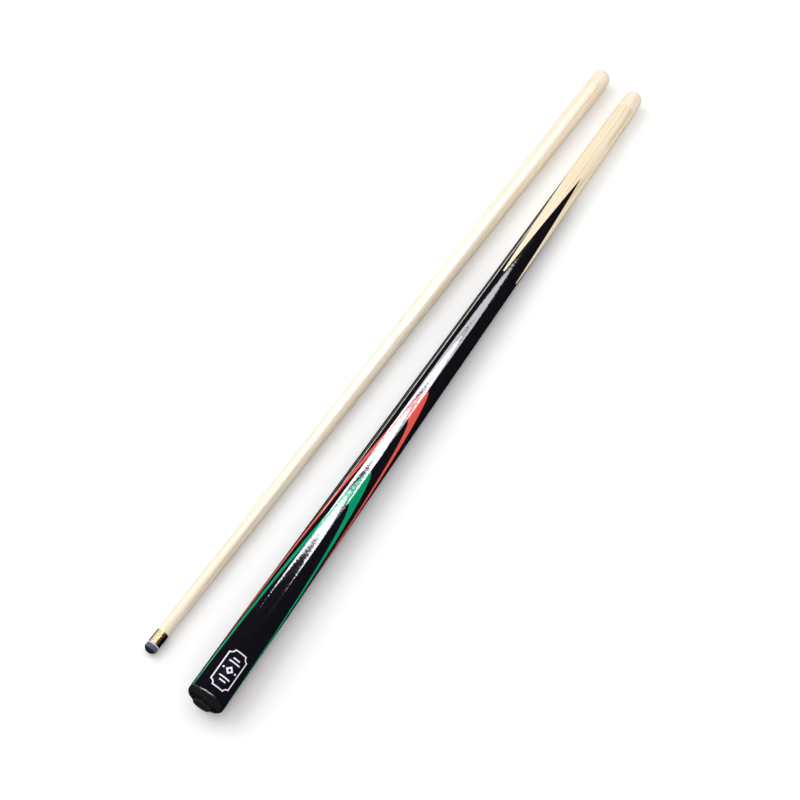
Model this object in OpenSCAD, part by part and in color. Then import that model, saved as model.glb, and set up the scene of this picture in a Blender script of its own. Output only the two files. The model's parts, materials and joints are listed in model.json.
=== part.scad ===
// Two-piece cue, taken apart and laid down: the butt half and the shaft half lie side by side,
// each with a turned wooden cap over its joint end.
//
// Every piece is drawn on the axis of the assembled cue: x runs from the bumper (0) through the
// joint to the leather tip, and +z is the front of the butt, where the badge is. butt_place() and
// shaft_place() then lay the halves on the floor, which is z = 0. The origin is on the floor,
// under the middle of the whole part.

/* [Cue] */
// Length of the assembled cue, bumper to tip
cue_len = 1448; // [1400:1:1500]
// Distance from the bumper's face to the joint
joint_x = 726; // [700:1:740]
// Diameter at the butt end
butt_d = 30; // [28:0.1:31]
// Diameter where the straight taper of the butt begins
grip_d = 29.5; // [27.5:0.1:30]
// Distance from the bumper's face to the start of the straight taper
grip_x = 90; // [60:1:120]
// Diameter at the joint
joint_d = 18.8; // [18:0.1:20]
// Diameter of the ferrule and the tip
ferrule_d = 10; // [9:0.1:10.5]

/* [Butt end] */
// How far the bumper stands out of the end cap
bumper_proud = 3; // [2:0.1:4]
// Diameter of the bumper's head
bumper_d = 15; // [13:0.1:18]
// Length of the bumper's stem
stem_len = 15; // [10:1:20]
// Diameter of the bumper's stem
stem_d = 10; // [8:0.1:11]
// Distance from the bumper's face to the trim ring
ring_x = 7.2; // [6:0.1:9]
// Thickness of the trim ring
ring_t = 0.8; // [0.5:0.1:1.5]
// Length of the end cap's spigot
spigot_len = 9; // [6:0.5:12]
// Diameter of the end cap's spigot
spigot_d = 16; // [14:0.1:18]

/* [Balance weight] */
// Length of the steel weight
slug_len = 50; // [30:1:60]
// Diameter of the steel weight
slug_d = 12; // [10:0.1:12.5]
// Distance from the bumper's face to the weight
slug_x = 120; // [100:1:130]
// Distance from the bumper's face to the blind end of the bore
bore_end_x = 176; // [172:1:200]

/* [Splice] */
// Distance from the bumper's face to the tips of the four black points
point_x = 613; // [580:1:640]
// Distance to where the points would meet on the axis
point_root_x = 450; // [430:1:460]
// Distance to the bottoms of the ash fins between the points
fin_x = 470; // [465:1:480]
// Turn of the points about the axis, away from the badge
point_turn = 10; // [0:1:45]

/* [Front overlays] */
// Distance to the tip of the red veneer
red_x = 320; // [300:1:340]
// Distance to the tip of the green veneer
green_x = 227; // [210:1:240]
// Length of each veneer's solid tip, along the surface
veneer_tip = 34; // [20:1:40]
// Slope of the veneers against the axis, in degrees
veneer_slope = 2.85; // [2:0.05:3.5]

/* [Badge] */
// Distance from the bumper's face to the badge
badge_x = 14; // [12:0.5:20]
// Length of the badge along the butt
badge_len = 31; // [25:0.5:35]
// Width of the badge across the butt
badge_w = 16.4; // [14:0.1:18]
// Radius of the badge's hollow corners
badge_notch = 3.2; // [2:0.1:4]
// Width of the badge's white line
badge_line = 0.9; // [0.6:0.1:1.2]
// Depth of the badge's inlay
badge_depth = 0.5; // [0.4:0.1:0.8]

/* [Joint] */
// Diameter of the pin in the butt
pin_d = 7.9; // [6:0.1:8]
// How far the pin stands out of the butt
pin_out = 22; // [18:1:24]
// Length of the pin inside the butt
pin_in = 30; // [26:1:40]
// Outer diameter of the brass sleeve, bush and insert
brass_d = 12; // [11:0.1:13]
// Bore of the insert and of the pin cap's bush
insert_bore_d = 8.5; // [8.5:0.1:9]
// Length of the sleeve in the butt
sleeve_len = 26; // [20:1:28]
// Length of the insert in the shaft
insert_len = 28; // [26:1:34]
// Gap between two pieces that meet face to face but move apart
face_gap = 0.05; // [0.02:0.01:0.1]

/* [Joint caps] */
// Length of each cap, with its dome
cap_len = 28; // [27:0.5:32]
// Diameter of each cap's dome
dome_d = 18; // [17:0.1:18.5]
// Length of the pin cap's brass bush
bush_len = 20; // [16:1:21]
// Depth of the pin cap's socket
socket_len = 23.5; // [22.5:0.5:24]
// Diameter of the peg in the insert cap
peg_d = 7.8; // [7:0.1:7.9]
// Length of the peg, half of it in the cap
peg_len = 28; // [20:1:30]

/* [Shaft end] */
// Length of the ferrule
ferrule_len = 11.4; // [9:0.1:13]
// Diameter of the shaft's tenon inside the ferrule
tenon_d = 8; // [7:0.1:8.5]
// Thickness of the fibre pad
pad_t = 1; // [0.5:0.1:1.5]
// Height of the tip's straight side
tip_side = 3; // [2:0.1:4]
// Height of the tip's dome
tip_dome = 3; // [2:0.1:3.5]

/* [Lie] */
// Roll of the butt half about its own axis, away from badge up
butt_roll = 26; // [0:1:90]
// Angle through which the shaft half turns from rest into line with the butt
turn_angle = 178.37; // [176:0.01:180]
// Distance left between the joint faces once the halves are in line
line_gap = 70; // [60:1:80]
// Distance from the bumper's face to the turn's vertical axis
pivot_x = 767.2; // [760:0.1:775]
// Distance sideways from the butt's axis to the turn's vertical axis
pivot_y = 20.6; // [18:0.1:26]

/* [Hidden] */

$fn = 96;
wood_x = ring_x + ring_t;
butt_r = butt_d / 2;
joint_r = joint_d / 2;
ferrule_r = ferrule_d / 2;
slug_fit = 0.15;
stem_fit = 0.08;
glue_fit = 0.05;
veneer_hollow = 0.4;
far = 60;

// The tip and its pad
pad_x = cue_len - tip_dome - tip_side - pad_t;
ferrule_x = pad_x - ferrule_len;
dome_r = (ferrule_r * ferrule_r + tip_dome * tip_dome) / (2 * tip_dome);

// The butt half touches the floor at the thick end of its taper. The shaft half lies on the same
// sloping line, line_gap further on, and touches the floor at the tip's edge.
tilt = asin((grip_d / 2 - ferrule_r) / (cue_len - tip_dome + line_gap - grip_x));
axis_z = grip_d / 2 * cos(tilt) + grip_x * sin(tilt);

// The splice
taper = (grip_d / 2 - joint_r) / (joint_x - grip_x);
function butt_radius(x) = grip_d / 2 - taper * (x - grip_x);
point_slope = atan(butt_radius(point_x) / (point_x - point_root_x));
fin_r = (fin_x - point_root_x) * tan(point_slope) / sqrt(2);

// Where points of the assembled cue's axis lie once the shaft half is laid beside the butt half
function line_x(x) = (x + line_gap) * cos(tilt) - pivot_x;
function laid_x(x) = pivot_x + line_x(x) * cos(turn_angle) + pivot_y * sin(turn_angle);
function laid_y(x) = pivot_y + line_x(x) * sin(turn_angle) - pivot_y * cos(turn_angle);

// The whole part's box in plan
dome_x = joint_x - cap_len + dome_d / 2;
box_lo_x = -(bumper_d / 2 - bumper_proud / 2) * sin(tilt);
box_hi_x = laid_x(dome_x) + dome_d / 2;
box_lo_y = -butt_r;
box_hi_y = laid_y(cue_len - tip_dome) - ferrule_r * cos(turn_angle);

// ---------- placing ----------

module butt_place() {
    translate([-(box_lo_x + box_hi_x) / 2, -(box_lo_y + box_hi_y) / 2, 0])
        translate([0, 0, axis_z])
            rotate([0, tilt, 0])
                rotate([butt_roll, 0, 0])
                    children();
}

module shaft_place() {
    translate([-(box_lo_x + box_hi_x) / 2, -(box_lo_y + box_hi_y) / 2, 0])
        translate([pivot_x, pivot_y, 0])
            rotate([0, 0, turn_angle])
                translate([-pivot_x, -pivot_y, axis_z])
                    rotate([0, tilt, 0])
                        translate([line_gap, 0, 0])
                            children();
}

// ---------- shared shapes ----------

// A rod or cone on the cue's axis, between two distances from the bumper's face
module rod(x0, x1, r0, r1 = undef) {
    translate([x0, 0, 0])
        rotate([0, 90, 0])
            cylinder(h = x1 - x0, r1 = r0, r2 = is_undef(r1) ? r0 : r1);
}

// The turned outside of the butt half, all its woods together
module butt_blank() {
    rod(wood_x, grip_x, butt_r, grip_d / 2);
    rod(grip_x, joint_x, grip_d / 2, joint_r);
}

// The bores for the end cap's spigot and the weight
module butt_bore() {
    rod(wood_x - 1, wood_x + spigot_len, spigot_d / 2);
    rod(wood_x, bore_end_x, slug_d / 2 + slug_fit);
}

// The four 90-degree grooves, which hold the black points
module point_grooves() {
    for (k = [0:3])
        rotate([90 * k + point_turn, 0, 0])
            translate([point_root_x, 0, 0])
                rotate([0, -point_slope, 0])
                    rotate([45, 0, 0])
                        cube([joint_x - point_root_x, far, far]);
}

// The round bottoms of the ash fins between the points
module fin_ends() {
    for (k = [0:1])
        rotate([90 * k + 45 + point_turn, 0, 0])
            translate([fin_x, 0, 0])
                cylinder(h = 2 * butt_r, r = fin_r, center = true);
}

// Everything in front of a sloping cut that reaches the surface at tip_x. The cut is planed very
// slightly hollow along its middle.
module in_front(tip_x) {
    for (side = [0, 1])
        mirror([0, side, 0])
            translate([tip_x, 0, butt_radius(tip_x)])
                rotate([0, -veneer_slope, 0])
                    rotate([veneer_hollow, 0, 0])
                        translate([-tip_x - far, 0, 0])
                            cube([tip_x + 2 * far, far, far]);
}

// The wood between two sloping cuts
module front_layer(tip_x, next_tip_x) {
    difference() {
        intersection() {
            butt_blank();
            in_front(tip_x);
        }
        if (next_tip_x > 0) in_front(next_tip_x);
        butt_bore();
    }
}

// A rectangle with hollow corners, as a block through the front of the butt
module badge_block(inset) {
    length = badge_len - 2 * inset;
    width = badge_w - 2 * inset;
    translate([badge_x + badge_len / 2, 0, 0])
        difference() {
            translate([-length / 2, -width / 2, slug_d / 2])
                cube([length, width, far]);
            for (end = [-1, 1], side = [-1, 1])
                translate([end * badge_len / 2, side * badge_w / 2, 0])
                    cylinder(h = 2 * far, r = badge_notch + inset);
        }
}

// The badge's ornament: a lozenge between bars
module ornament_block() {
    lozenge = 4.6;
    bar_w = 1.1;
    translate([badge_x + badge_len / 2, 0, slug_d / 2]) {
        difference() {
            rotate([0, 0, 45])
                translate([-lozenge / 2, -lozenge / 2, 0])
                    cube([lozenge, lozenge, far]);
            translate([0, 0, -1])
                cylinder(h = 2 * far, r = 1.1);
        }
        for (end = [-1, 1]) {
            translate([end * 6.4 - bar_w / 2, -4.6, 0])
                cube([bar_w, 9.2, far]);
            translate([end * 9.2 - bar_w / 2, -2.8, 0])
                cube([bar_w, 5.6, far]);
            translate([0, end * 5.2, 0])
                cylinder(h = far, r = 0.75);
        }
    }
}

// The white line and the ornament together, as a block
module badge_white_block() {
    difference() {
        badge_block(0);
        badge_block(badge_line);
    }
    ornament_block();
}

// The thin skin of the butt that the badge is let into
module badge_skin() {
    difference() {
        rod(wood_x, grip_x, butt_r, grip_d / 2);
        rod(wood_x - 1, grip_x + 1, butt_r - badge_depth, grip_d / 2 - badge_depth);
    }
}

// The outside of a joint cap, its flat face at the origin and its dome towards +x
module cap_outside() {
    rod(0, cap_len - dome_d / 2, joint_r, dome_d / 2);
    translate([cap_len - dome_d / 2, 0, 0])
        sphere(d = dome_d);
}

// ---------- butt half ----------

module forearm_solid() {
    difference() {
        intersection() {
            butt_blank();
            rod(fin_x, joint_x, far);
        }
        point_grooves();
    }
    intersection() {
        butt_blank();
        fin_ends();
    }
}

module forearm() {
    color("blanchedalmond")
        butt_place()
            difference() {
                forearm_solid();
                rod(joint_x - sleeve_len, joint_x + 1, brass_d / 2);
                rod(joint_x - pin_in, joint_x, pin_d / 2);
            }
}

module butt_wood() {
    color([0.05, 0.04, 0.05])
        butt_place()
            difference() {
                intersection() {
                    butt_blank();
                    union() {
                        rod(0, fin_x, far);
                        point_grooves();
                    }
                }
                fin_ends();
                in_front(red_x);
                butt_bore();
            }
}

module red_veneer() {
    color([0.94, 0.39, 0.36])
        butt_place()
            front_layer(red_x, red_x - veneer_tip);
}

module middle_overlay() {
    color([0.05, 0.04, 0.05])
        butt_place()
            front_layer(red_x - veneer_tip, green_x);
}

module green_veneer() {
    color([0.04, 0.66, 0.45])
        butt_place()
            front_layer(green_x, green_x - veneer_tip);
}

module front_overlay() {
    color([0.05, 0.04, 0.05])
        butt_place()
            difference() {
                front_layer(green_x - veneer_tip, 0);
                intersection() {
                    badge_skin();
                    badge_block(0);
                }
            }
}

module badge_plate() {
    color([0.08, 0.08, 0.12])
        butt_place()
            difference() {
                intersection() {
                    badge_skin();
                    badge_block(badge_line);
                }
                ornament_block();
            }
}

module badge_inlay() {
    color("white")
        butt_place()
            intersection() {
                badge_skin();
                badge_white_block();
            }
}

module end_ring() {
    color("silver")
        butt_place()
            difference() {
                rod(ring_x, wood_x, butt_r);
                rod(ring_x - 1, wood_x + 1, spigot_d / 2);
            }
}

module end_cap() {
    edge = ring_x - bumper_proud;
    color([0.06, 0.07, 0.07])
        butt_place()
            difference() {
                union() {
                    rod(bumper_proud, ring_x, butt_r - edge);
                    intersection() {
                        rod(bumper_proud, ring_x, butt_r);
                        translate([ring_x, 0, 0])
                            rotate([0, 90, 0])
                                rotate_extrude()
                                    translate([butt_r - edge, 0])
                                        circle(r = edge);
                    }
                    rod(ring_x, wood_x + spigot_len, spigot_d / 2);
                }
                rod(0, wood_x + spigot_len + 1, stem_d / 2 + stem_fit);
            }
}

module bumper() {
    round_r = bumper_proud / 2;
    color([0.05, 0.05, 0.06])
        butt_place() {
            rod(0, bumper_proud - face_gap, bumper_d / 2 - round_r);
            translate([round_r, 0, 0])
                rotate([0, 90, 0])
                    rotate_extrude()
                        translate([bumper_d / 2 - round_r, 0])
                            circle(r = round_r - face_gap);
            rod(round_r, bumper_proud + stem_len, stem_d / 2);
        }
}

module weight_slug() {
    color("gray")
        butt_place()
            rod(slug_x, slug_x + slug_len, slug_d / 2);
}

module joint_sleeve() {
    color("goldenrod")
        butt_place()
            difference() {
                rod(joint_x - sleeve_len, joint_x, brass_d / 2);
                rod(joint_x - sleeve_len - 1, joint_x + 1, pin_d / 2);
            }
}

module joint_pin() {
    lead_in = 1.5;
    color("darkgoldenrod")
        butt_place() {
            rod(joint_x - pin_in, joint_x + pin_out - lead_in, pin_d / 2);
            rod(joint_x + pin_out - lead_in, joint_x + pin_out, pin_d / 2, pin_d / 2 - lead_in);
        }
}

module pin_cap() {
    color("wheat")
        butt_place()
            translate([joint_x + face_gap, 0, 0])
                difference() {
                    cap_outside();
                    rod(-1, bush_len, brass_d / 2);
                    rod(0, socket_len, insert_bore_d / 2);
                }
}

module pin_cap_bush() {
    color("goldenrod")
        butt_place()
            translate([joint_x + face_gap, 0, 0])
                difference() {
                    rod(0, bush_len, brass_d / 2);
                    rod(-1, bush_len + 1, insert_bore_d / 2);
                }
}

// ---------- shaft half ----------

module shaft_wood() {
    color("antiquewhite")
        shaft_place()
            difference() {
                union() {
                    rod(joint_x + face_gap, ferrule_x, joint_r, ferrule_r);
                    rod(ferrule_x - 1, pad_x, tenon_d / 2);
                }
                rod(joint_x - 1, joint_x + insert_len + face_gap, brass_d / 2 + glue_fit);
            }
}

module joint_insert() {
    color("goldenrod")
        shaft_place()
            difference() {
                rod(joint_x + face_gap, joint_x + insert_len, brass_d / 2);
                rod(joint_x - 1, joint_x + insert_len + 1, insert_bore_d / 2);
            }
}

module ferrule() {
    color("darkkhaki")
        shaft_place()
            difference() {
                rod(ferrule_x, pad_x, ferrule_r);
                rod(ferrule_x - 1, pad_x + 1, tenon_d / 2);
            }
}

module tip_pad() {
    color("ivory")
        shaft_place()
            rod(pad_x, pad_x + pad_t, ferrule_r);
}

module tip() {
    color([0.4, 0.42, 0.5])
        shaft_place()
            intersection() {
                rod(pad_x + pad_t, cue_len, ferrule_r);
                translate([cue_len - dome_r, 0, 0])
                    sphere(r = dome_r);
            }
}

module insert_cap() {
    color("wheat")
        shaft_place()
            translate([joint_x, 0, 0])
                mirror([1, 0, 0])
                    difference() {
                        cap_outside();
                        rod(-1, peg_len / 2, peg_d / 2);
                    }
}

module insert_cap_peg() {
    lead_in = 1;
    end_x = joint_x + peg_len / 2;
    color("darkgoldenrod")
        shaft_place() {
            rod(joint_x - peg_len / 2, end_x - lead_in, peg_d / 2);
            rod(end_x - lead_in, end_x, peg_d / 2, peg_d / 2 - lead_in);
        }
}

// ---------- the part ----------

forearm();
butt_wood();
red_veneer();
middle_overlay();
green_veneer();
front_overlay();
badge_plate();
badge_inlay();
end_ring();
end_cap();
bumper();
weight_slug();
joint_sleeve();
joint_pin();
pin_cap();
pin_cap_bush();
shaft_wood();
joint_insert();
ferrule();
tip_pad();
tip();
insert_cap();
insert_cap_peg();
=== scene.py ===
import json
import math

import bmesh
import bpy
import numpy as np
from mathutils import Matrix, Vector


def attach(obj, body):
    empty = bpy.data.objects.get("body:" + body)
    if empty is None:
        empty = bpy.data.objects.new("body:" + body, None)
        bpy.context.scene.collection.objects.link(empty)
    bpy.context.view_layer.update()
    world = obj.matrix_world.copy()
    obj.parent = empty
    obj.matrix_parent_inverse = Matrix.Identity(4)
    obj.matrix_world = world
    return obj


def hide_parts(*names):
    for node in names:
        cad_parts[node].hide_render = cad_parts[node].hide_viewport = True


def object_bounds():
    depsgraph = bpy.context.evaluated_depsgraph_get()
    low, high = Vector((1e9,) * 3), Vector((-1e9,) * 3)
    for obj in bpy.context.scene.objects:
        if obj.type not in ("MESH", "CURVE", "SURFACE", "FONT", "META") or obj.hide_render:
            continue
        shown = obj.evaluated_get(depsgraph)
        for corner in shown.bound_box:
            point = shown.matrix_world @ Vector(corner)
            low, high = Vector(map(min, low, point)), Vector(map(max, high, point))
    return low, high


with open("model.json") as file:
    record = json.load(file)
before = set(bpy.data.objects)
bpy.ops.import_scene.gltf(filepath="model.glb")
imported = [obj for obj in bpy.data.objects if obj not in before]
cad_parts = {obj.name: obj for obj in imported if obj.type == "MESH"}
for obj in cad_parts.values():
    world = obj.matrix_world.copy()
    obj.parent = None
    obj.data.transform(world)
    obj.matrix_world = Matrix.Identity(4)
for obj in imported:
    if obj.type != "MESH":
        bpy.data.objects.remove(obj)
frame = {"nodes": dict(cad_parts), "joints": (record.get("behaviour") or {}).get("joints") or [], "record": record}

cad_low, cad_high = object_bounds()

MM = 0.001
SEGMENTS = 160
# A length that is outside the cue from any point of its axis
FAR = 60
# How near the turned surface the middle of a face lies when it belongs to that surface
ON_SURFACE = 0.15

# ---------- the two halves ----------


class Half:
    """One half of the cue, from a point on its axis at the distance x and the way to the tip."""

    def __init__(self, point, x, to_tip, roll):
        along = Vector(to_tip).normalized()
        across = Vector((0, 0, 1)).cross(along).normalized()
        up = along.cross(across)
        axes = Matrix((along, across, up)).transposed().to_4x4()
        origin = Matrix.Translation(Vector(point) - along * x * MM)
        self.matrix = origin @ axes @ Matrix.Rotation(roll, 4, "X")
        self.inverse = self.matrix.inverted()

    def points(self, node):
        """The node's vertices as distance along the axis and from the axis, in millimetres."""
        local = [self.inverse @ v.co / MM for v in frame["nodes"][node].data.vertices]
        return np.array([(p.x, math.hypot(p.y, p.z)) for p in local])

    def span(self, node):
        x = self.points(node)[:, 0]
        return float(x.min()), float(x.max())

    def radius(self, node, x):
        points = self.points(node)
        return float(points[abs(points[:, 0] - x) < 0.05, 1].max())


def named(rows, name):
    return next(row for row in rows if row["name"] == name)


BUTT_ROLL = math.radians(26)
bumper_face = named(frame["record"]["mounts"], "bumper_face")
screw = named(frame["joints"], "joint_screw")
butt = Half(bumper_face["pos_m"], 0, -Vector(bumper_face["axis"]), BUTT_ROLL)
joint_x = butt.span("forearm")[1]
shaft = Half(screw["pos_m"], joint_x, -Vector(screw["axis"]), 0)

# ---------- sizes, measured on the frame ----------

# Where the butt's taper changes, how deep the pin sits in the forearm, and the joint's bore
GRIP_X = 90
PIN_DEPTH = 30
BORE_R = 4.25
wood_x = butt.span("end_ring")[1]
butt_r = butt.radius("butt_wood", wood_x)
grip_r = butt.radius("butt_wood", GRIP_X)
joint_r = butt.radius("forearm", joint_x)
brass_r = butt.radius("joint_sleeve", joint_x)
pin_r = butt.radius("joint_pin", joint_x - PIN_DEPTH)


def butt_radius(x):
    """The radius of the turned butt half at a distance from the bumper's face."""
    if x < GRIP_X:
        return butt_r + (grip_r - butt_r) * (x - wood_x) / (GRIP_X - wood_x)
    return grip_r + (joint_r - grip_r) * (x - GRIP_X) / (joint_x - GRIP_X)


# ---------- meshes ----------


def link(obj):
    bpy.context.scene.collection.objects.link(obj)
    return obj


def rounded(corners, steps=6):
    """A profile of (x, r) points with their normals. A corner (x, r, radius) becomes an arc."""
    profile = []
    count = len(corners)
    for i, corner in enumerate(corners):
        here = Vector(corner[:2])
        if len(corner) < 3:
            profile.append((here, None))
            continue
        before = (Vector(corners[i - 1][:2]) - here).normalized()
        after = (Vector(corners[(i + 1) % count][:2]) - here).normalized()
        half_angle = before.angle(after) / 2
        centre = here + (before + after).normalized() * corner[2] / math.sin(half_angle)
        reach = corner[2] / math.tan(half_angle)
        start = here + before * reach - centre
        turn = start.angle_signed(here + after * reach - centre)
        for k in range(steps + 1):
            spoke = Matrix.Rotation(-turn * k / steps, 2) @ start
            profile.append((centre + spoke, spoke.normalized()))
    return profile


def arc(centre_x, radius, start, end, steps=16):
    """Corner points along an arc about a point on the axis, angles in degrees from +x."""
    angles = [math.radians(start + (end - start) * k / steps) for k in range(steps + 1)]
    return [(centre_x + radius * math.cos(a), max(radius * math.sin(a), 0)) for a in angles]


def lathe(corners, closed=False, segments=SEGMENTS, ripple=None):
    """A turned mesh. The profile runs so that the outside is on its left, as from the bumper's end
    out along the surface to the tip's end. A closed profile makes a ring. ripple(x, angle, r) may
    move the surface in or out."""
    profile = rounded(corners)
    count = len(profile)
    sides = count if closed else count - 1
    turn = np.linspace(0, 2 * np.pi, segments, endpoint=False)
    verts, rings = [], []
    for point, _ in profile:
        if point[1] < 1e-6:
            rings.append([len(verts)] * segments)
            verts.append((point[0], 0, 0))
            continue
        rings.append(list(range(len(verts), len(verts) + segments)))
        for a in turn:
            r = point[1] + (ripple(point[0], a, point[1]) if ripple else 0)
            verts.append((point[0], r * math.cos(a), r * math.sin(a)))
    faces, normals = [], []
    for i in range(sides):
        k = (i + 1) % count
        step = profile[k][0] - profile[i][0]
        if step.length < 1e-7:
            continue
        flat = Vector((-step[1], step[0])).normalized()
        ends = []
        for normal in (profile[i][1], profile[k][1]):
            smooth = normal is not None and abs(normal.dot(flat)) > 0.5
            ends.append(normal * math.copysign(1, normal.dot(flat)) if smooth else flat)
        for j in range(segments):
            j2 = (j + 1) % segments
            near = [(rings[i][j], 0, j), (rings[i][j2], 0, j2)]
            loop = [*near, (rings[k][j2], 1, j2), (rings[k][j], 1, j)]
            corner_ids = []
            for vert, end, spoke in loop:
                if vert in corner_ids:
                    continue
                corner_ids.append(vert)
                n = ends[end]
                normals.append((n[0], n[1] * math.cos(turn[spoke]), n[1] * math.sin(turn[spoke])))
            faces.append(corner_ids)
    mesh = bpy.data.meshes.new("lathe")
    mesh.from_pydata(verts, [], faces)
    mesh.shade_smooth()
    if ripple is None:
        mesh.normals_split_custom_set(normals)
    else:
        mesh.set_sharp_from_angle(angle=math.radians(40))
    return mesh


def prism(outline, x0, x1):
    """An outline of (y, z) points, drawn out along x."""
    count = len(outline)
    verts = [(x, y, z) for x in (x0, x1) for y, z in outline]
    sides = [(i, (i + 1) % count, count + (i + 1) % count, count + i) for i in range(count)]
    ends = [tuple(reversed(range(count))), tuple(range(count, 2 * count))]
    mesh = bpy.data.meshes.new("prism")
    mesh.from_pydata(verts, [], sides + ends)
    outward(mesh)
    return mesh


def outward(mesh):
    """Turns every face to look outwards."""
    work = bmesh.new()
    work.from_mesh(mesh)
    bmesh.ops.recalc_face_normals(work, faces=work.faces)
    work.to_mesh(mesh)
    work.free()


def placed(mesh, *moves):
    """The mesh after these moves, the last one first."""
    for move in reversed(moves):
        mesh.transform(move)
    return mesh


def shift(x, y=0, z=0):
    return Matrix.Translation((x, y, z))


def turned(degrees, axis):
    return Matrix.Rotation(math.radians(degrees), 4, axis)


def carved(base, *steps):
    """The base mesh after boolean steps, each an operation and a tool mesh."""
    block = link(bpy.data.objects.new("block", base))
    tools = []
    for operation, tool in steps:
        tools.append(link(bpy.data.objects.new("tool", tool)))
        cut = block.modifiers.new("cut", "BOOLEAN")
        cut.operation = operation
        cut.solver = "EXACT"
        cut.object = tools[-1]
    bpy.context.view_layer.update()
    evaluated = block.evaluated_get(bpy.context.evaluated_depsgraph_get())
    result = bpy.data.meshes.new_from_object(evaluated)
    for obj in [block, *tools]:
        bpy.data.objects.remove(obj)
    return result


def polished(mesh, surface):
    """Gives the outer surface the exact normals of the turned cone, and flat ones to the cuts."""
    mesh.shade_smooth()
    normals = [None] * len(mesh.loops)
    for face in mesh.polygons:
        middle = face.center
        out = Vector((0, middle.y, middle.z)).normalized()
        off = abs(math.hypot(middle.y, middle.z) - surface(middle.x))
        on_surface = off < ON_SURFACE and face.normal.dot(out) > 0.9
        for loop in face.loop_indices:
            point = mesh.vertices[mesh.loops[loop].vertex_index].co
            slope = surface(point.x + 0.5) - surface(point.x - 0.5)
            radial = Vector((0, point.y, point.z)).normalized()
            turned_normal = (radial - Vector((slope, 0, 0))).normalized()
            normals[loop] = turned_normal if on_surface else face.normal.copy()
    mesh.normals_split_custom_set(normals)
    return mesh


def piece(node, mesh, half, body, material):
    """A finished piece in place of a CAD node. Its mesh keeps its place on the cue for the paint."""
    place = np.empty(3 * len(mesh.vertices))
    mesh.vertices.foreach_get("co", place)
    mesh.attributes.new("cue", "FLOAT_VECTOR", "POINT").data.foreach_set("vector", place)
    mesh.transform(half.matrix @ Matrix.Scale(MM, 4))
    obj = link(bpy.data.objects.new(node + "_fine", mesh))
    mesh.materials.clear()
    mesh.materials.append(material)
    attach(obj, body)
    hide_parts(node)
    return obj


# ---------- materials ----------


class Paint:
    """A node material, built up by short calls. Its coordinates are millimetres on the cue's half."""

    def __init__(self, name, **inputs):
        self.material = bpy.data.materials.new(name)
        self.material.use_nodes = True
        self.tree = self.material.node_tree
        self.bsdf = self.tree.nodes["Principled BSDF"]
        for key, value in inputs.items():
            self.bsdf.inputs[key.title().replace("Ior", "IOR")].default_value = value
        place = self.tree.nodes.new("ShaderNodeAttribute")
        place.attribute_name = "cue"
        self.mm = place.outputs["Vector"]

    def vector(self, operation, a, b):
        node = self.tree.nodes.new("ShaderNodeVectorMath")
        node.operation = operation
        self.put(a, node.inputs[0])
        self.put(b, node.inputs[1])
        return node.outputs["Vector"]

    def put(self, value, socket):
        if isinstance(value, bpy.types.NodeSocket):
            self.tree.links.new(value, socket)
        else:
            socket.default_value = value

    def math(self, operation, a, b=0.0, clamp=False):
        node = self.tree.nodes.new("ShaderNodeMath")
        node.operation = operation
        node.use_clamp = clamp
        self.put(a, node.inputs[0])
        self.put(b, node.inputs[1])
        return node.outputs["Value"]

    def axis(self, name):
        node = self.tree.nodes.new("ShaderNodeSeparateXYZ")
        self.put(self.mm, node.inputs[0])
        return node.outputs[name]

    def noise(self, stretch, detail=3.0, roughness=0.55, offset=0.0):
        """Noise whose cells measure 1 / stretch millimetres along each axis."""
        node = self.tree.nodes.new("ShaderNodeTexNoise")
        moved = self.vector("ADD", self.mm, (offset, offset, offset))
        self.put(self.vector("MULTIPLY", moved, stretch), node.inputs["Vector"])
        node.inputs["Scale"].default_value = 1.0
        node.inputs["Detail"].default_value = detail
        node.inputs["Roughness"].default_value = roughness
        return node.outputs["Fac"]

    def ramp(self, value, stops):
        """A colour or grey for a value. Each stop is a position and a colour or a grey."""
        node = self.tree.nodes.new("ShaderNodeValToRGB")
        while len(node.color_ramp.elements) < len(stops):
            node.color_ramp.elements.new(0.5)
        for element, (position, colour) in zip(node.color_ramp.elements, stops):
            element.position = position
            element.color = (*colour, 1) if isinstance(colour, tuple) else (colour, colour, colour, 1)
        self.put(value, node.inputs["Fac"])
        return node.outputs["Color"]

    def mix(self, share, a, b, blend="MIX"):
        node = self.tree.nodes.new("ShaderNodeMix")
        node.data_type = "RGBA"
        node.blend_type = blend
        self.put(share, node.inputs["Factor"])
        for value, name in ((a, "A"), (b, "B")):
            socket = next(s for s in node.inputs if s.name == name and s.type == "RGBA")
            self.put((*value, 1) if isinstance(value, tuple) else value, socket)
        return next(s for s in node.outputs if s.type == "RGBA")

    def bump(self, height, depth):
        """Depth is the height of the bumps in millimetres."""
        node = self.tree.nodes.new("ShaderNodeBump")
        node.inputs["Distance"].default_value = depth * MM
        self.put(height, node.inputs["Height"])
        self.put(node.outputs["Normal"], self.bsdf.inputs["Normal"])

    def colour(self, value):
        self.put(value, self.bsdf.inputs["Base Color"])

    def rough(self, value):
        self.put(value, self.bsdf.inputs["Roughness"])


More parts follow.
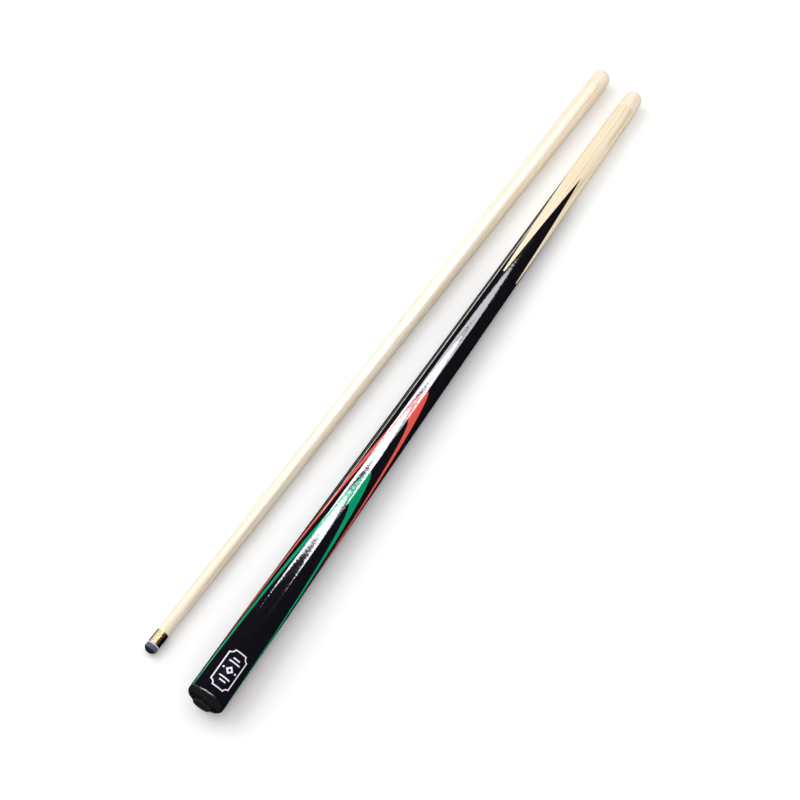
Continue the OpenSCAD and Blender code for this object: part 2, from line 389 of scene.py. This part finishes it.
def ash(name, light, dark, roughness, offset, ring=2.7, lean=0.3):
    """Ash: growth rings cut at a low angle, so that they run out in long arrows, with open pores."""
    paint = Paint(name, ior=1.48)
    warp = paint.math("MULTIPLY", paint.noise((0.006, 0.07, 0.07), 2.0, 0.5, offset), 5.0)
    depth = paint.math("ADD", paint.axis("Z"), paint.math("MULTIPLY", paint.axis("Y"), lean))
    drift = paint.math("MULTIPLY", paint.axis("X"), 0.011)
    rings = paint.math("ADD", paint.math("ADD", depth, drift), warp)
    phase = paint.math("FRACT", paint.math("DIVIDE", rings, ring))
    band = paint.ramp(phase, [(0.0, 0.95), (0.10, 0.75), (0.42, 0.1), (0.86, 0.0), (1.0, 0.55)])
    pores = paint.ramp(paint.noise((0.07, 4.0, 4.0), 2.0, 0.6, offset), [(0.50, 0.0), (0.66, 1.0)])
    fibres = paint.noise((0.02, 1.6, 1.6), 4.0, 0.6, offset + 31)
    patches = paint.noise((0.012, 0.06, 0.06), 2.0, 0.5, offset + 77)
    pore_band = paint.math("MULTIPLY", pores, band)
    shade = paint.math("MULTIPLY", band, 0.40)
    shade = paint.math("ADD", shade, paint.math("MULTIPLY", pore_band, 0.55))
    shade = paint.math("ADD", shade, paint.math("MULTIPLY", fibres, 0.22))
    body = paint.mix(paint.math("SUBTRACT", shade, 0.10, clamp=True), light, dark)
    warmth = paint.ramp(patches, [(0.35, (1.0, 1.0, 1.0)), (0.68, (1.0, 0.93, 0.86))])
    paint.colour(paint.mix(1.0, body, warmth, "MULTIPLY"))
    paint.rough(paint.ramp(pore_band, [(0.0, roughness), (1.0, min(roughness + 0.2, 1))]))
    paint.bump(paint.math("SUBTRACT", 1.0, pore_band), 0.02)
    return paint.material


def lacquered(name, deep, streak, roughness, offset):
    """Dark or dyed wood under a thick polished lacquer."""
    paint = Paint(name, ior=1.52)
    fibres = paint.noise((0.03, 2.2, 2.2), 4.0, 0.6, offset)
    pores = paint.noise((0.09, 5.0, 5.0), 2.0, 0.5, offset + 13)
    grain = paint.math("MULTIPLY", fibres, paint.ramp(pores, [(0.42, 0.55), (0.62, 1.0)]))
    paint.colour(paint.ramp(grain, [(0.22, deep), (0.62, streak)]))
    haze = paint.noise((0.05, 0.25, 0.25), 3.0, 0.6, offset + 5)
    paint.rough(paint.ramp(haze, [(0.35, roughness), (0.75, roughness + 0.05)]))
    flow = paint.noise((0.06, 0.22, 0.22), 2.0, 0.45, offset + 50)
    orange_peel = paint.noise((0.4, 0.4, 0.4), 2.0, 0.5, offset + 61)
    paint.bump(paint.math("ADD", flow, paint.math("MULTIPLY", orange_peel, 0.8)), 0.035)
    return paint.material


def turned_metal(name, bright, dull, roughness, line=3.0, depth=0.004):
    """Metal with the fine rings that a lathe leaves, and a little tarnish."""
    paint = Paint(name, metallic=1.0)
    tarnish = paint.noise((0.12, 0.35, 0.35), 4.0, 0.6)
    paint.colour(paint.ramp(tarnish, [(0.38, bright), (0.72, dull)]))
    lines = paint.noise((line, 0.05, 0.05), 3.0, 0.7)
    wear = paint.math("MULTIPLY", lines, tarnish)
    paint.rough(paint.ramp(wear, [(0.1, roughness), (0.5, roughness + 0.16)]))
    paint.bump(lines, depth)
    return paint.material


def moulded(name, base, worn, roughness, cell=2.4, depth=0.02):
    """Moulded plastic or rubber, with a fine even grain and faint scuffs."""
    paint = Paint(name, ior=1.5)
    scuffs = paint.noise((0.25, 0.6, 0.6), 5.0, 0.65)
    paint.colour(paint.ramp(scuffs, [(0.45, base), (0.78, worn)]))
    paint.rough(paint.ramp(scuffs, [(0.35, roughness), (0.75, min(roughness + 0.15, 1))]))
    paint.bump(paint.noise((cell, cell, cell), 3.0, 0.6), depth)
    return paint.material


def tip_leather(name, dome_x, rim_x):
    """Pressed leather: a blue-grey chalked side, and painted shade that darkens the crown towards the tip's end,
    with faint lighter flecks in it.
    """
    paint = Paint(name, ior=1.4)
    fibre = paint.noise((1.3, 2.4, 2.4), 6.0, 0.7)
    layers = paint.noise((5.0, 0.25, 0.25), 2.0, 0.6)
    chalk = paint.ramp(fibre, [(0.36, 0.0), (0.66, 1.0)])
    side = paint.mix(chalk, (0.045, 0.05, 0.10), (0.17, 0.19, 0.30))
    side = paint.mix(paint.math("MULTIPLY", layers, 0.5), side, (0.025, 0.028, 0.055))
    # Painted shade over the crown: near black, with faint lighter flecks where the fibre is high.
    worn = paint.ramp(fibre, [(0.45, 0.0), (0.75, 1.0)])
    dome_shade = paint.mix(worn, (0.006, 0.006, 0.009), (0.03, 0.035, 0.06))
    # The painted shade begins past the rim along a ragged line and deepens towards the tip's end.
    reach = paint.math("DIVIDE", paint.math("SUBTRACT", paint.axis("X"), rim_x), dome_x - rim_x)
    edge = paint.math("ADD", reach, paint.math("MULTIPLY", paint.math("SUBTRACT", fibre, 0.5), 0.5))
    paint.colour(paint.mix(paint.ramp(edge, [(0.05, 0.0), (0.30, 1.0)]), side, dome_shade))
    paint.rough(paint.ramp(fibre, [(0.3, 0.75), (0.7, 0.95)]))
    paint.bump(fibre, 0.15)
    return paint.material


ash_shaft = ash("shaft_ash", (0.95, 0.87, 0.72), (0.62, 0.45, 0.27), 0.30, 3.0)
ash_forearm = ash("forearm_ash", (0.93, 0.82, 0.62), (0.60, 0.41, 0.22), 0.10, 140.0, 2.9, -0.5)
ash_cap = ash("cap_ash", (0.93, 0.83, 0.66), (0.64, 0.47, 0.29), 0.28, 420.0, 2.5, 0.8)
EBONY = (0.004, 0.004, 0.006)
EBONY_STREAK = (0.012, 0.009, 0.011)
GLOSS = 0.035
black = lacquered("black_lacquer", EBONY, EBONY_STREAK, GLOSS, 9.0)
black_middle = lacquered("black_lacquer_middle", EBONY, EBONY_STREAK, GLOSS, 209.0)
black_front = lacquered(
    "black_lacquer_front", (0.004, 0.004, 0.007), (0.011, 0.009, 0.013), GLOSS, 309.0
)
red = lacquered("red_veneer_dye", (0.72, 0.080, 0.062), (0.88, 0.14, 0.11), 0.05, 60.0)
green = lacquered("green_veneer_dye", (0.002, 0.25, 0.12), (0.006, 0.40, 0.20), 0.05, 90.0)
badge_black = moulded("badge_black", (0.005, 0.005, 0.010), (0.012, 0.012, 0.02), 0.06, 1.5, 0.004)
badge_white = moulded("badge_white", (0.86, 0.86, 0.93), (0.74, 0.74, 0.80), 0.15, 2.0, 0.006)
ring_metal = turned_metal("trim_ring_metal", (0.42, 0.41, 0.43), (0.28, 0.27, 0.29), 0.22)
cap_plastic = moulded("end_cap_plastic", (0.008, 0.010, 0.010), (0.022, 0.025, 0.024), 0.20, 1.6, 0.008)
rubber = moulded("bumper_rubber", (0.012, 0.012, 0.014), (0.04, 0.04, 0.042), 0.48, 2.6, 0.05)
steel = turned_metal("weight_steel", (0.50, 0.50, 0.52), (0.33, 0.32, 0.31), 0.30)
brass = turned_metal("joint_brass", (0.86, 0.62, 0.26), (0.55, 0.36, 0.13), 0.18)
ferrule_brass = turned_metal("ferrule_brass", (0.87, 0.74, 0.46), (0.66, 0.52, 0.28), 0.12, 4.0, 0.006)
fibre_pad = moulded("pad_fibre", (0.62, 0.60, 0.66), (0.45, 0.43, 0.50), 0.5, 4.0, 0.03)

# ---------- the butt's woods ----------

# The splice and the overlays, in the CAD's own driving sizes: millimetres, and degrees for the turn
# of the points about the axis and for the slope and hollow of the veneers
POINT_ROOT_X = 450
POINT_TURN = 10
VENEER_SLOPE = 2.85
VENEER_HOLLOW = 0.4
SPIGOT_R = 8
BORE_GAP = 0.15
BORE_PAST_SLUG = 6
point_x = butt.span("butt_wood")[1]
red_x = butt.span("red_veneer")[1]
middle_x = butt.span("middle_overlay")[1]
green_x = butt.span("green_veneer")[1]
front_x = butt.span("front_overlay")[1]
point_slope = math.degrees(math.atan(butt_radius(point_x) / (point_x - POINT_ROOT_X)))
fin_ratio = math.tan(math.radians(point_slope)) / math.sqrt(2)
fin_x = (butt.span("forearm")[0] - POINT_ROOT_X * fin_ratio) / (1 - fin_ratio)
fin_r = (fin_x - POINT_ROOT_X) * fin_ratio
bore_end_x = butt.span("weight_slug")[1] + BORE_PAST_SLUG
slug_r = butt.radius("weight_slug", butt.span("weight_slug")[0])
spigot_end_x = butt.span("end_cap")[1]


def butt_blank():
    """The turned outside of the butt half, with a ring of vertices every few centimetres."""
    stations = [wood_x, *np.linspace(wood_x, GRIP_X, 4)[1:], *np.linspace(GRIP_X, joint_x, 26)[1:]]
    outside = [(float(x), butt_radius(x)) for x in stations]
    return lathe([(wood_x, 0), *outside, (joint_x, 0)])


def rod(x0, x1, radius):
    return lathe([(x0, 0), (x0, radius), (x1, radius), (x1, 0)])


def black_side():
    """The space of the black wood: all behind the fins, and the four grooves of the points."""
    square = [(-FAR, -FAR), (FAR, -FAR), (FAR, FAR), (-FAR, FAR)]
    steps = []
    for k in range(4):
        groove = prism([(0, 0), (FAR, FAR), (-FAR, FAR)], 0, joint_x + FAR - POINT_ROOT_X)
        turn = turned(90 * k + POINT_TURN, "X")
        steps.append(("UNION", placed(groove, turn, shift(POINT_ROOT_X), turned(-point_slope, "Y"))))
    for k in range(2):
        end = rod(-2 * butt_r, 2 * butt_r, fin_r)
        turn = turned(90 * k + 45 + POINT_TURN, "X")
        steps.append(("DIFFERENCE", placed(end, turn, shift(fin_x), turned(90, "Y"))))
    return carved(prism(square, -FAR, fin_x), *steps)


def in_front(tip_x):
    """The space in front of a sloping cut that reaches the surface at tip_x."""
    rise = FAR * math.tan(math.radians(VENEER_HOLLOW))
    outline = [(0, 0), (FAR, rise), (FAR, FAR), (-FAR, FAR), (-FAR, rise)]
    cut = prism(outline, -tip_x - FAR, FAR)
    return placed(cut, shift(tip_x, 0, butt_radius(tip_x)), turned(-VENEER_SLOPE, "Y"))


def bores():
    """The bore for the weight, and the wider one for the end cap's spigot."""
    corners = [(wood_x - 1, 0), (wood_x - 1, SPIGOT_R), (spigot_end_x, SPIGOT_R)]
    corners += [(spigot_end_x, slug_r + BORE_GAP), (bore_end_x, slug_r + BORE_GAP), (bore_end_x, 0)]
    return lathe(corners, segments=64)


def layer(tip_x, next_tip_x=None):
    """The wood between two sloping cuts."""
    steps = [("INTERSECT", in_front(tip_x))]
    if next_tip_x is not None:
        steps.append(("DIFFERENCE", in_front(next_tip_x)))
    return carved(butt_blank(), *steps, ("DIFFERENCE", bores()))


def wood(node, mesh, material):
    return piece(node, polished(mesh, butt_radius), butt, "butt", material)


sleeve_x = butt.span("joint_sleeve")[0]
pin_x = butt.span("joint_pin")[0]
socket_corners = [(pin_x, 0), (pin_x, pin_r), (sleeve_x, pin_r), (sleeve_x, brass_r)]
socket = lathe([*socket_corners, (joint_x + 1, brass_r), (joint_x + 1, 0)])
ash_part = carved(butt_blank(), ("DIFFERENCE", black_side()), ("DIFFERENCE", socket))
wood("forearm", ash_part, ash_forearm)
black_cuts = [("INTERSECT", black_side()), ("DIFFERENCE", in_front(red_x)), ("DIFFERENCE", bores())]
wood("butt_wood", carved(butt_blank(), *black_cuts), black)
wood("red_veneer", layer(red_x, middle_x), red)
wood("middle_overlay", layer(middle_x, green_x), black_middle)
wood("green_veneer", layer(green_x, front_x), green)

# ---------- the badge ----------

BADGE_DEPTH = 0.5
BADGE_LINE = 0.9
BADGE_NOTCH = 3.2
LOZENGE_SIDE = 4.6
LOZENGE_HOLE_R = 1.1
DOT_Y = 5.2
DOT_R = 0.75
BAR_WIDTH = 1.1
# The bars on either side of the lozenge: how far from it along the cue, and how long
BADGE_BARS = ((6.4, 9.2), (9.2, 5.6))
badge_x0, badge_x1 = butt.span("badge_inlay")
badge_y = max(abs((butt.inverse @ v.co / MM).y) for v in frame["nodes"]["badge_inlay"].data.vertices)
badge_mid = (badge_x0 + badge_x1) / 2


def badge_outline(inset):
    """The badge's outline with its hollow corners, as (y, x) points about the badge's middle."""
    half_x = (badge_x1 - badge_x0) / 2
    points = []
    for side_y, side_x in ((1, 1), (-1, 1), (-1, -1), (1, -1)):
        radius = BADGE_NOTCH + inset
        first = math.asin(inset / radius)
        angles = np.linspace(first, math.pi / 2 - first, 9)
        if side_y * side_x > 0:
            angles = angles[::-1]
        for a in angles:
            y = side_y * (badge_y - radius * math.cos(a))
            x = side_x * (half_x - radius * math.sin(a))
            points.append((y, x))
    return points


def stamp(outline):
    """An outline of (y, x) points about the badge's middle, drawn out through the butt's front."""
    block = prism(outline, slug_r, FAR)
    swap = Matrix(((0, 0, 1, badge_mid), (0, 1, 0, 0), (1, 0, 0, 0), (0, 0, 0, 1)))
    block.transform(swap)
    outward(block)
    return block


def bar(x, width, length):
    """The outline of a bar across the badge."""
    y, half = length / 2, width / 2
    return [(-y, x - half), (y, x - half), (y, x + half), (-y, x + half)]


def disc(y, radius, count=24):
    """The outline of a dot."""
    angles = [2 * math.pi * k / count for k in range(count)]
    return [(y + radius * math.cos(a), radius * math.sin(a)) for a in angles]


def ornament():
    """A lozenge with a hole between two dots, and two bars at each end."""
    half = LOZENGE_SIDE / math.sqrt(2)
    lozenge = stamp([(half, 0), (0, half), (-half, 0), (0, -half)])
    steps = [("DIFFERENCE", stamp(disc(0, LOZENGE_HOLE_R)))]
    for end in (-1, 1):
        for bar_x, bar_length in BADGE_BARS:
            steps.append(("UNION", stamp(bar(end * bar_x, BAR_WIDTH, bar_length))))
        steps.append(("UNION", stamp(disc(end * DOT_Y, DOT_R))))
    return carved(lozenge, *steps)


def badge_skin(rise=0.0):
    """The ring of the butt's surface that the badge is let into."""
    x0, x1 = badge_x0 - 2, badge_x1 + 2
    out0, out1 = butt_radius(x0) + rise, butt_radius(x1) + rise
    in0, in1 = butt_radius(x0) - BADGE_DEPTH, butt_radius(x1) - BADGE_DEPTH
    return lathe([(x0, in0), (x0, out0), (x1, out1), (x1, in1)], closed=True)


pocket = carved(badge_skin(1.0), ("INTERSECT", stamp(badge_outline(0))))
wood("front_overlay", carved(layer(front_x), ("DIFFERENCE", pocket)), black_front)
plate = carved(badge_skin(), ("INTERSECT", stamp(badge_outline(BADGE_LINE))), ("DIFFERENCE", ornament()))
wood("badge_plate", plate, badge_black)
inside_line = stamp(badge_outline(BADGE_LINE))
line = carved(stamp(badge_outline(0)), ("DIFFERENCE", inside_line), ("UNION", ornament()))
wood("badge_inlay", carved(badge_skin(), ("INTERSECT", line)), badge_white)

# ---------- the butt's end ----------

ring_x = butt.span("end_ring")[0]
cap_x = butt.span("end_cap")[0]
stem_end_x = butt.span("bumper")[1]
STEM_R = 5
bumper_r = max(butt.points("bumper")[:, 1])

ring = [(ring_x, SPIGOT_R), (ring_x, butt_r, 0.15), (wood_x, butt_r, 0.1), (wood_x, SPIGOT_R)]
piece("end_ring", lathe(ring, closed=True), butt, "butt", ring_metal)

hole_r = STEM_R + 0.08
end_cap = [
    (cap_x, hole_r, 0.3),
    (cap_x, butt_r - 4.9),
    (cap_x + 0.25, butt_r - 4.7, 0.1),
    (cap_x + 0.25, butt_r - 4.4, 0.1),
    (cap_x, butt_r - 4.2, 0.05),
    (cap_x, butt_r, 4.0),
    (ring_x - 0.05, butt_r, 0.05),
    (ring_x, SPIGOT_R + 0.4),
    (ring_x, SPIGOT_R),
    (spigot_end_x, SPIGOT_R, 0.6),
    (spigot_end_x, hole_r, 0.3),
]
piece("end_cap", lathe(end_cap, closed=True), butt, "butt", cap_plastic)

bumper = [
    (0.7, 0),
    (0.7, 2.4, 0.5),
    (0, 3.0, 0.3),
    (0, bumper_r, 1.2),
    (1.9, bumper_r, 0.2),
    (2.1, bumper_r - 0.25, 0.1),
    (2.4, bumper_r - 0.25, 0.1),
    (2.6, bumper_r, 0.15),
    (cap_x - 0.05, bumper_r, 0.25),
    (cap_x - 0.05, STEM_R, 0.1),
    (cap_x + 4, STEM_R, 0.1),
    (cap_x + 4.4, STEM_R - 0.35, 0.2),
    (cap_x + 6.0, STEM_R - 0.35, 0.2),
    (cap_x + 6.4, STEM_R, 0.1),
    (cap_x + 10, STEM_R, 0.1),
    (cap_x + 10.4, STEM_R - 0.35, 0.2),
    (stem_end_x - 2.4, STEM_R - 0.35, 0.2),
    (stem_end_x - 2.0, STEM_R, 0.2),
    (stem_end_x, STEM_R, 1.0),
    (stem_end_x, 0),
]
piece("bumper", lathe(bumper), butt, "bumper", rubber)

slug_x0, slug_x1 = butt.span("weight_slug")
slug = [
    (slug_x0 + 4, 0),
    (slug_x0 + 4, 1.9),
    (slug_x0, 1.9, 0.2),
    (slug_x0, slug_r, 0.6),
    (slug_x0 + 3, slug_r, 0.1),
    (slug_x0 + 3.3, slug_r - 0.3, 0.1),
    (slug_x0 + 4.2, slug_r - 0.3, 0.1),
    (slug_x0 + 4.5, slug_r, 0.1),
    (slug_x1, slug_r, 0.6),
    (slug_x1, 0),
]
piece("weight_slug", lathe(slug, segments=96), butt, "weight", steel)

# ---------- the joint ----------

PITCH = 2.5
STARTS = 2
# The valley's cross-section: wide and steep enough for a flat bottom and a flat crest
VALLEY_WIDTH = 1.35
VALLEY_SLOPE = 4
PIN_THREAD_DEPTH = 0.55
BORE_THREAD_DEPTH = 0.2


def thread(depth, x0, x1, fade):
    """A two-start thread between x0 and x1, cut into the surface, that fades at both ends."""

    def cut(x, angle, r):
        run = min(max(min(x - x0, x1 - x) / fade, 0), 1)
        phase = (x / PITCH - STARTS * angle / (2 * math.pi)) % 1
        valley = min(max(VALLEY_WIDTH - VALLEY_SLOPE * abs(phase - 0.5), 0), 1)
        return -depth * run * valley

    return cut


def fine(x0, x1, radius, step=PITCH / 12):
    """Points along a straight side, close enough together to carry a thread."""
    count = max(2, round(abs(x1 - x0) / step))
    return [(x0 + (x1 - x0) * k / count, radius) for k in range(count + 1)]


pin_tip_x = butt.span("joint_pin")[1]
LEAD_IN = 1.5
pin = [(pin_x, 0), *fine(pin_x, pin_tip_x - LEAD_IN, pin_r)]
pin += [(pin_tip_x, pin_r - LEAD_IN), (pin_tip_x, 1.6), (pin_tip_x - 0.8, 0)]
pin_thread = thread(PIN_THREAD_DEPTH, joint_x + 1.5, pin_tip_x - 0.4, 1.2)
pin_mesh = lathe(pin, ripple=pin_thread, segments=96)
piece("joint_pin", pin_mesh, butt, "butt", brass)

sleeve = [(sleeve_x, pin_r), (sleeve_x, brass_r, 0.2), (joint_x, brass_r, 0.06), (joint_x, pin_r, 0.2)]
piece("joint_sleeve", lathe(sleeve, closed=True), butt, "butt", brass)

insert_x0, insert_x1 = shaft.span("joint_insert")
bore = fine(insert_x1, insert_x0, BORE_R)
insert = [(insert_x0 + 0.01, BORE_R + 0.35), (insert_x0, BORE_R + 0.6)]
insert += [(insert_x0, brass_r), (insert_x1, brass_r), *bore[:-1]]
bore_thread = thread(BORE_THREAD_DEPTH, insert_x0 + 0.8, insert_x1, 1.0)


def insert_ripple(x, angle, r):
    """The thread, in the bore alone."""
    return bore_thread(x, angle, r) if r < BORE_R + 0.1 else 0


insert_mesh = lathe(insert, closed=True, segments=96, ripple=insert_ripple)
piece("joint_insert", insert_mesh, shaft, "insert", brass)

# ---------- the joint caps ----------

FACE_GAP = 0.05
# How far a cap's dome is set in from its skirt, and its socket goes on past the bush
DOME_INSET = 0.4
SOCKET_PAST_BUSH = 3.5
pin_cap_x0, pin_cap_x1 = butt.span("pin_cap")
dome_r = butt.radius("pin_cap", pin_cap_x0) - DOME_INSET
bush_x0, bush_x1 = butt.span("pin_cap_bush")
socket_x = bush_x1 + SOCKET_PAST_BUSH
dome_x = pin_cap_x1 - dome_r
cap = [
    (socket_x, 0),
    (socket_x, BORE_R, 0.8),
    (bush_x1, BORE_R),
    (bush_x1, brass_r),
    (pin_cap_x0, brass_r, 0.1),
    (pin_cap_x0, joint_r, 0.12),
    *reversed(arc(dome_x, dome_r, 0, 90)),
]
piece("pin_cap", lathe(cap), butt, "pin_cap", ash_cap)

bush = [(bush_x0, BORE_R, 0.4), (bush_x0, brass_r, 0.1), (bush_x1, brass_r, 0.2), (bush_x1, BORE_R, 0.2)]
piece("pin_cap_bush", lathe(bush, closed=True), butt, "pin_cap", brass)

peg_x0, peg_x1 = shaft.span("insert_cap_peg")
peg_r = shaft.radius("insert_cap_peg", peg_x0)
insert_cap_x0, insert_cap_x1 = shaft.span("insert_cap")
insert_dome_x = insert_cap_x0 + dome_r
insert_cap = [
    *reversed(arc(insert_dome_x, dome_r, 90, 180)),
    (insert_cap_x1, joint_r, 0.12),
    (insert_cap_x1, peg_r, 0.1),
    (peg_x0, peg_r),
    (peg_x0, 0),
]
piece("insert_cap", lathe(insert_cap), shaft, "insert_cap", ash_cap)

FIRST_GROOVE = 17
GROOVE_STEP = 2.5
GROOVE_DEPTH = 0.25
peg = [(peg_x0, 0), (peg_x0, peg_r, 0.3)]
for groove in range(3):
    groove_x = peg_x0 + FIRST_GROOVE + GROOVE_STEP * groove
    floor_r = peg_r - GROOVE_DEPTH
    peg += [(groove_x, peg_r, 0.1), (groove_x + 0.3, floor_r, 0.1)]
    peg += [(groove_x + 0.9, floor_r, 0.1), (groove_x + 1.2, peg_r, 0.1)]
peg += [(peg_x1 - 1, peg_r, 0.4), (peg_x1, peg_r - 1, 0.2), (peg_x1, 0)]
piece("insert_cap_peg", lathe(peg, segments=96), shaft, "insert_cap", brass)

# ---------- the shaft half ----------

ferrule_x, pad_x = shaft.span("ferrule")
ferrule_r = shaft.radius("ferrule", ferrule_x)
pad_end_x = shaft.span("tip_pad")[1]
tip_x = shaft.span("tip")[1]
TENON_R = 4
wood_start_x = shaft.span("shaft_wood")[0]
glue_r = brass_r + FACE_GAP


def shaft_radius(x):
    """The radius of the shaft's wood between the joint and the ferrule."""
    return joint_r + (ferrule_r - joint_r) * (x - wood_start_x) / (ferrule_x - wood_start_x)


stations = np.linspace(wood_start_x, ferrule_x, 24)[1:-1]
shaft_wood = [
    (insert_x1 + FACE_GAP, 0),
    (insert_x1 + FACE_GAP, glue_r),
    (wood_start_x, glue_r, 0.05),
    (wood_start_x, joint_r, 0.12),
    *[(float(x), shaft_radius(x)) for x in stations],
    (ferrule_x, ferrule_r),
    (ferrule_x, TENON_R),
    (pad_x, TENON_R),
    (pad_x, 0),
]
piece("shaft_wood", lathe(shaft_wood), shaft, "shaft", ash_shaft)

ferrule = [
    (ferrule_x, TENON_R),
    (ferrule_x, ferrule_r, 0.08),
    (pad_x - 0.9, ferrule_r, 0.05),
    (pad_x - 0.8, ferrule_r - 0.07, 0.03),
    (pad_x - 0.6, ferrule_r - 0.07, 0.03),
    (pad_x - 0.5, ferrule_r, 0.05),
    (pad_x, ferrule_r, 0.08),
    (pad_x, TENON_R),
]
piece("ferrule", lathe(ferrule, closed=True), shaft, "shaft", ferrule_brass)

pad = [(pad_x, 0), (pad_x, ferrule_r, 0.1), (pad_end_x, ferrule_r, 0.1), (pad_end_x, 0)]
piece("tip_pad", lathe(pad), shaft, "shaft", fibre_pad)

TIP_DOME = 3
rim_x = tip_x - TIP_DOME
crown_r = (ferrule_r**2 + TIP_DOME**2) / (2 * TIP_DOME)
rim_angle = math.degrees(math.asin(ferrule_r / crown_r))


def leather_swell(x, angle, r):
    """The tip bulges a little over its side, and its surface is uneven."""
    side = math.sin(math.pi * min(max((x - pad_end_x) / (rim_x - pad_end_x + 1.0), 0), 1))
    lumps = 0.5 * math.sin(3 * angle + 1.7 * x) + 0.3 * math.sin(7 * angle - 2.3 * x + 1)
    return 0.12 * side + 0.035 * lumps * min(r / ferrule_r, 1)


crown = reversed(arc(tip_x - crown_r, crown_r, 0, rim_angle, 14))
side = fine(pad_end_x + 0.3, rim_x - 0.3, ferrule_r, 0.3)
tip = [(pad_end_x, 0), (pad_end_x, ferrule_r - 0.1), (pad_end_x + 0.12, ferrule_r), *side, *crown]
tip_mesh = lathe(tip, ripple=leather_swell)
piece("tip", tip_mesh, shaft, "shaft", tip_leather("tip_leather", tip_x, rim_x))

# ---------- floor, light and camera ----------

CUE_ORIGIN = butt.matrix.translation
floor_mesh = bpy.data.meshes.new("floor")
# Half the floor's side in metres, its gap under the cue in millimetres, and its grey
FLOOR = 9
FLOOR_GAP = 0.1
FLOOR_WHITE = 0.93
floor_corners = [(-FLOOR, -FLOOR, 0), (FLOOR, -FLOOR, 0), (FLOOR, FLOOR, 0), (-FLOOR, FLOOR, 0)]
floor_mesh.from_pydata(floor_corners, [], [(0, 1, 2, 3)])
floor = link(bpy.data.objects.new("floor", floor_mesh))
floor.location.z = cad_low.z - FLOOR_GAP * MM
floor_paint = Paint("floor_white", roughness=0.9)
floor_paint.colour((FLOOR_WHITE, FLOOR_WHITE, FLOOR_WHITE, 1))
floor_mesh.materials.append(floor_paint.material)
floor.visible_glossy = False


def softbox(name, centre, target, width, height, power, colour=(1, 1, 1)):
    data = bpy.data.lights.new(name, "AREA")
    data.shape = "RECTANGLE"
    data.size, data.size_y = width, height
    data.energy = power
    data.color = colour
    lamp = link(bpy.data.objects.new(name, data))
    lamp.location = centre
    lamp.rotation_euler = (Vector(target) - Vector(centre)).to_track_quat("-Z", "Y").to_euler()
    return lamp


def row(x, y, z):
    """A point given in metres from the bumper's face, across the halves and up, in the row frame."""
    return Vector((CUE_ORIGIN.x + x, CUE_ORIGIN.y + y, z))


def shine(name, centre, target, width, height, radiance, colour=(1, 1, 1)):
    """A softbox that is seen only as a reflection."""
    lamp = softbox(name, centre, target, width, height, radiance * math.pi * width * height, colour)
    lamp.visible_diffuse = False
    return lamp


MIDDLE_X = 0.5
KEY_SIZE = 3
KEY_REACH = 3.2
KEY_POWER = 75
key_place = row(MIDDLE_X, KEY_REACH, KEY_REACH)
key = softbox("key", key_place, row(MIDDLE_X, 0, 0), KEY_SIZE, KEY_SIZE, KEY_POWER)
key.visible_glossy = False
PANEL_HEIGHT = 1.7
PANEL_Y = 0.17
PANEL_WIDTH = 2.4
LILAC = (0.93, 0.93, 1.0)
# Each panel overhead: where it starts and ends along the cue, and how bright it is
PANELS = ((0.90, 1.04, 26), (1.13, 1.32, 30), (1.39, 1.57, 26), (1.60, 1.84, 13))
for number, (x0, x1, radiance) in enumerate(PANELS):
    place = row((x0 + x1) / 2, PANEL_Y, PANEL_HEIGHT)
    under = row((x0 + x1) / 2, PANEL_Y, 0)
    shine(f"panel_{number}", place, under, x1 - x0, PANEL_WIDTH, radiance, LILAC)
metals = bpy.data.collections.new("metals")
METAL_NODES = (
    "ferrule",
    "joint_pin",
    "joint_sleeve",
    "joint_insert",
    "pin_cap_bush",
    "insert_cap_peg",
    "weight_slug",
)
for node in METAL_NODES:
    metals.objects.link(bpy.data.objects[node + "_fine"])
# The metals reflect a white studio above and to the left, and a dim one to the right.
# Each wall of it: where it stands and what it faces, as (y, z), its height, radiance and colour.
WALL_LENGTH = 8
WARM = (1.0, 0.98, 0.93)
OLIVE = (0.8, 0.9, 0.5)
WALLS = (
    ("metal_sky", (2.1, PANEL_HEIGHT), (2.1, 0), 6.2, 0.9, WARM),
    ("metal_left", (5.3, 0.85), (0, 0.85), 1.7, 0.9, WARM),
    ("metal_right", (-5, 1.6), (0, 1.6), 3.2, 0.1, OLIVE),
)
for name, stand, facing, height, radiance, colour in WALLS:
    target = row(MIDDLE_X, *facing)
    wall = shine(name, row(MIDDLE_X, *stand), target, WALL_LENGTH, height, radiance, colour)
    wall.light_linking.receiver_collection = metals
# The low strip that draws the bright line along the side of the cue
EDGE_PLACE = (1.36, 1.6, 0.16)
EDGE_TARGET = (0.34, 0, 0)
EDGE_LENGTH = 0.85
EDGE_HEIGHT = 0.1
EDGE_RADIANCE = 18
shine("edge", row(*EDGE_PLACE), row(*EDGE_TARGET), EDGE_LENGTH, EDGE_HEIGHT, EDGE_RADIANCE)

world = bpy.data.worlds.new("studio")
bpy.context.scene.world = world
world.use_nodes = True
WORLD_STRENGTH = 0.95
background = world.node_tree.nodes["Background"]
background.inputs["Color"].default_value = (1, 1, 1, 1)
background.inputs["Strength"].default_value = WORLD_STRENGTH
world.cycles_visibility.glossy = False

CAMERA_PLACE = (-0.2324, -0.3040, 0.9079)
LENS = 58.28
VIEW_HEADING = math.radians(30.52)
VIEW_DOWN = math.radians(55.02)
camera_data = bpy.data.cameras.new("camera")
camera_data.sensor_width = 36
camera_data.lens = LENS
camera_data.clip_start = 0.01
camera = link(bpy.data.objects.new("camera", camera_data))
camera.location = row(*CAMERA_PLACE)
level = math.cos(VIEW_DOWN)
look = Vector((math.cos(VIEW_HEADING) * level, math.sin(VIEW_HEADING) * level, -math.sin(VIEW_DOWN)))
camera.rotation_euler = look.to_track_quat("-Z", "Y").to_euler()
bpy.context.scene.camera = camera
bpy.context.scene.view_settings.view_transform = "Standard"
